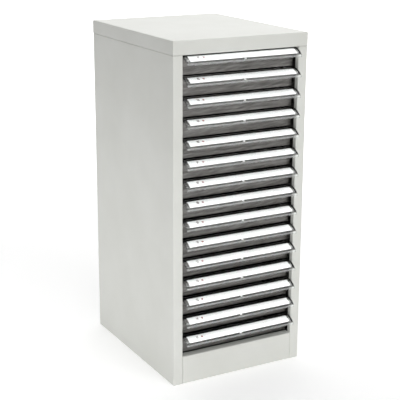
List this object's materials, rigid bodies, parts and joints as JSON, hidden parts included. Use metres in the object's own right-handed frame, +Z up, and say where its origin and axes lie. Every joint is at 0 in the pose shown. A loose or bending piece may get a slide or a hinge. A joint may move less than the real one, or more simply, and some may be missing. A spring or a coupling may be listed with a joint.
{
  "type": "drawer cabinet",
  "caption": "Tall sheet-steel drawer cabinet with a stack of shallow sliding paper trays, each opened by a full-width clear curved pull that holds a paper label.",
  "frame": {"origin": "on the floor, under the middle of the overall box, which takes in the pulls in front", "axes": "+X to the right seen from the front, +Y from the front to the back, +Z up; the drawers open towards -Y"},
  "size_m": [0.375, 0.4788, 0.87],
  "materials": {
    "painted_steel": "light grey powder coat with a fine grain",
    "galvanised_steel": "bare zinc-coated sheet, dull with faint rolling streaks",
    "clear_plastic": "clear extruded plastic, smooth",
    "label_paper": "plain white paper"
  },
  "bodies": {
    "cabinet": {"top_cap": "painted_steel", "left_side_panel": "painted_steel", "right_side_panel": "painted_steel", "back_panel": "painted_steel", "plinth_panel": "painted_steel", "base_deck": "galvanised_steel", "left_front_upright": "galvanised_steel", "left_rear_upright": "galvanised_steel", "right_front_upright": "galvanised_steel", "right_rear_upright": "galvanised_steel", "left_runners": "galvanised_steel", "right_runners": "galvanised_steel"},
    "drawer_01": {"drawer_tray_01": "galvanised_steel", "drawer_pull_01": "clear_plastic", "drawer_label_01": "label_paper"},
    "drawer_02": {"drawer_tray_02": "galvanised_steel", "drawer_pull_02": "clear_plastic", "drawer_label_02": "label_paper"},
    "drawer_03": {"drawer_tray_03": "galvanised_steel", "drawer_pull_03": "clear_plastic", "drawer_label_03": "label_paper"},
    "drawer_04": {"drawer_tray_04": "galvanised_steel", "drawer_pull_04": "clear_plastic", "drawer_label_04": "label_paper"},
    "drawer_05": {"drawer_tray_05": "galvanised_steel", "drawer_pull_05": "clear_plastic", "drawer_label_05": "label_paper"},
    "drawer_06": {"drawer_tray_06": "galvanised_steel", "drawer_pull_06": "clear_plastic", "drawer_label_06": "label_paper"},
    "drawer_07": {"drawer_tray_07": "galvanised_steel", "drawer_pull_07": "clear_plastic", "drawer_label_07": "label_paper"},
    "drawer_08": {"drawer_tray_08": "galvanised_steel", "drawer_pull_08": "clear_plastic", "drawer_label_08": "label_paper"},
    "drawer_09": {"drawer_tray_09": "galvanised_steel", "drawer_pull_09": "clear_plastic", "drawer_label_09": "label_paper"},
    "drawer_10": {"drawer_tray_10": "galvanised_steel", "drawer_pull_10": "clear_plastic", "drawer_label_10": "label_paper"},
    "drawer_11": {"drawer_tray_11": "galvanised_steel", "drawer_pull_11": "clear_plastic", "drawer_label_11": "label_paper"},
    "drawer_12": {"drawer_tray_12": "galvanised_steel", "drawer_pull_12": "clear_plastic", "drawer_label_12": "label_paper"},
    "drawer_13": {"drawer_tray_13": "galvanised_steel", "drawer_pull_13": "clear_plastic", "drawer_label_13": "label_paper"},
    "drawer_14": {"drawer_tray_14": "galvanised_steel", "drawer_pull_14": "clear_plastic", "drawer_label_14": "label_paper"},
    "drawer_15": {"drawer_tray_15": "galvanised_steel", "drawer_pull_15": "clear_plastic", "drawer_label_15": "label_paper"}
  },
  "joints": [
    {"name": "drawer_01_slide", "type": "slide", "parent": "cabinet", "child": "drawer_01", "axis": [0, -1, 0], "range_m": [0, 0.354]},
    {"name": "drawer_02_slide", "type": "slide", "parent": "cabinet", "child": "drawer_02", "axis": [0, -1, 0], "range_m": [0, 0.354]},
    {"name": "drawer_03_slide", "type": "slide", "parent": "cabinet", "child": "drawer_03", "axis": [0, -1, 0], "range_m": [0, 0.354]},
    {"name": "drawer_04_slide", "type": "slide", "parent": "cabinet", "child": "drawer_04", "axis": [0, -1, 0], "range_m": [0, 0.354]},
    {"name": "drawer_05_slide", "type": "slide", "parent": "cabinet", "child": "drawer_05", "axis": [0, -1, 0], "range_m": [0, 0.354]},
    {"name": "drawer_06_slide", "type": "slide", "parent": "cabinet", "child": "drawer_06", "axis": [0, -1, 0], "range_m": [0, 0.354]},
    {"name": "drawer_07_slide", "type": "slide", "parent": "cabinet", "child": "drawer_07", "axis": [0, -1, 0], "range_m": [0, 0.354]},
    {"name": "drawer_08_slide", "type": "slide", "parent": "cabinet", "child": "drawer_08", "axis": [0, -1, 0], "range_m": [0, 0.354]},
    {"name": "drawer_09_slide", "type": "slide", "parent": "cabinet", "child": "drawer_09", "axis": [0, -1, 0], "range_m": [0, 0.354]},
    {"name": "drawer_10_slide", "type": "slide", "parent": "cabinet", "child": "drawer_10", "axis": [0, -1, 0], "range_m": [0, 0.354]},
    {"name": "drawer_11_slide", "type": "slide", "parent": "cabinet", "child": "drawer_11", "axis": [0, -1, 0], "range_m": [0, 0.354]},
    {"name": "drawer_12_slide", "type": "slide", "parent": "cabinet", "child": "drawer_12", "axis": [0, -1, 0], "range_m": [0, 0.354]},
    {"name": "drawer_13_slide", "type": "slide", "parent": "cabinet", "child": "drawer_13", "axis": [0, -1, 0], "range_m": [0, 0.354]},
    {"name": "drawer_14_slide", "type": "slide", "parent": "cabinet", "child": "drawer_14", "axis": [0, -1, 0], "range_m": [0, 0.354]},
    {"name": "drawer_15_slide", "type": "slide", "parent": "cabinet", "child": "drawer_15", "axis": [0, -1, 0], "range_m": [0, 0.354]}
  ]
}
